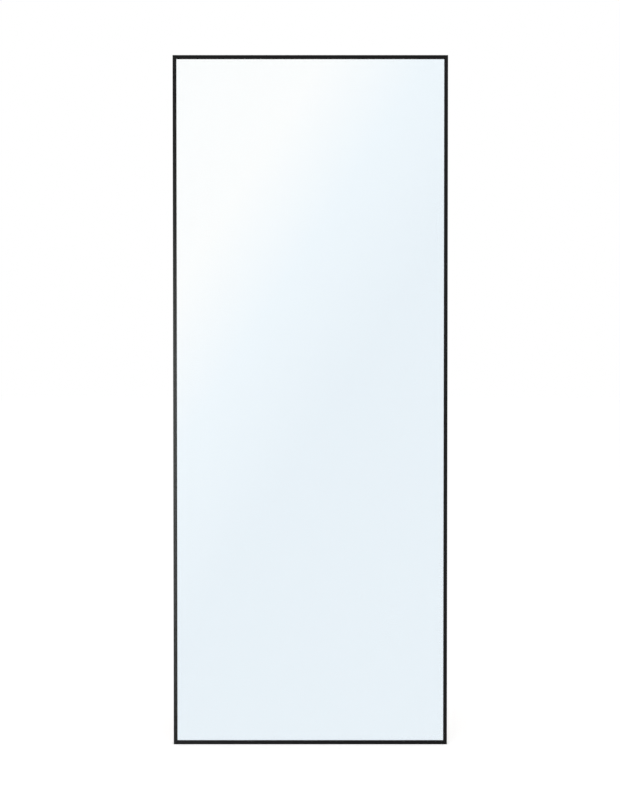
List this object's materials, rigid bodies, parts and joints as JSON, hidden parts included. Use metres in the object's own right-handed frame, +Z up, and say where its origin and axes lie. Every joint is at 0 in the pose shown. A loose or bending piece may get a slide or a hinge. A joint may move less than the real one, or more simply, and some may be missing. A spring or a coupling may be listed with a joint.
{
  "type": "full-length mirror",
  "caption": "Tall rectangular wall mirror in a thin black extruded frame, hung on cranked steel brackets whose tongues go up into the top rail.",
  "frame": {"origin": "centre of the four wall-screw holes, on the wall plane", "axes": "+Z up, +Y into the wall, the mirror faces -Y, +X to the viewer's right"},
  "size_m": [0.78, 0.0268, 1.96],
  "materials": {
    "frame_black": "satin black anodised extrusion",
    "key_metal": "plain cast",
    "screw_steel": "bright zinc plated",
    "mirror_glass": "polished float glass with seamed edges",
    "silver": "silvered, painted behind",
    "film": "smooth film",
    "hardboard": "pressed hardboard, smooth face",
    "gasket_rubber": "matt black",
    "bumper_rubber": "matt dark grey",
    "bracket_steel": "zinc plated sheet"
  },
  "bodies": {
    "wall_brackets": {"wall_bracket_left": "bracket_steel", "wall_bracket_right": "bracket_steel"},
    "mirror": {"rail_top": "frame_black", "rail_bottom": "frame_black", "rail_left": "frame_black", "rail_right": "frame_black", "corner_key_top_left": "key_metal", "corner_key_top_right": "key_metal", "corner_key_bottom_right": "key_metal", "corner_key_bottom_left": "key_metal", "corner_screws": "screw_steel", "mirror_glass": "mirror_glass", "silver_coating": "silver", "safety_film": "film", "backing_board": "hardboard", "gasket_top": "gasket_rubber", "gasket_bottom": "gasket_rubber", "gasket_left": "gasket_rubber", "gasket_right": "gasket_rubber", "wall_bumpers": "bumper_rubber"}
  },
  "joints": [
    {"name": "lift_off", "type": "slide", "parent": "wall_brackets", "child": "mirror", "axis": [0, 0, 1], "range_m": [0, 0.018]}
  ]
}
